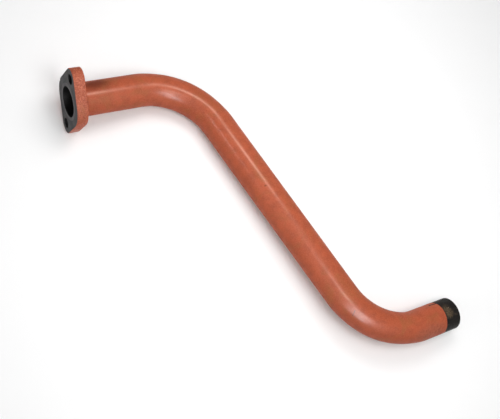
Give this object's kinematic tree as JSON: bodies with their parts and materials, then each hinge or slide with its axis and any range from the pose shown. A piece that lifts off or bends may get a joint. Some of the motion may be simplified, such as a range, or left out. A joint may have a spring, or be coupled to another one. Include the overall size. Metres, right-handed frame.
{
  "type": "flue elbow",
  "caption": "S-bent steel connecting pipe with a two-bolt rhombic flange welded on one end and a bare plain spigot on the other.",
  "frame": {"origin": "centre of the bore at the flange's front face", "axes": "+X runs from the flange face into the pipe, the S lies in the XY plane, +Z is square to it"},
  "size_m": [0.3523, 0.4065, 0.0864],
  "materials": {
    "flange_paint": "satin red oxide paint over a rough cut edge, front face machined bare",
    "machined_weld": "machined flush, dulled",
    "weld_paint": "satin red oxide paint over a rippled bead",
    "tube_paint": "satin red oxide paint",
    "outlet_paint": "satin red oxide paint that stops short of a bare dark end"
  },
  "bodies": {
    "root": {"flange_plate": "flange_paint", "seal_weld": "machined_weld", "back_weld": "weld_paint", "tube_inlet_leg": "tube_paint", "tube_first_bend": "tube_paint", "tube_middle_leg": "tube_paint", "tube_second_bend": "tube_paint", "tube_outlet_leg": "outlet_paint"}
  },
  "joints": []
}
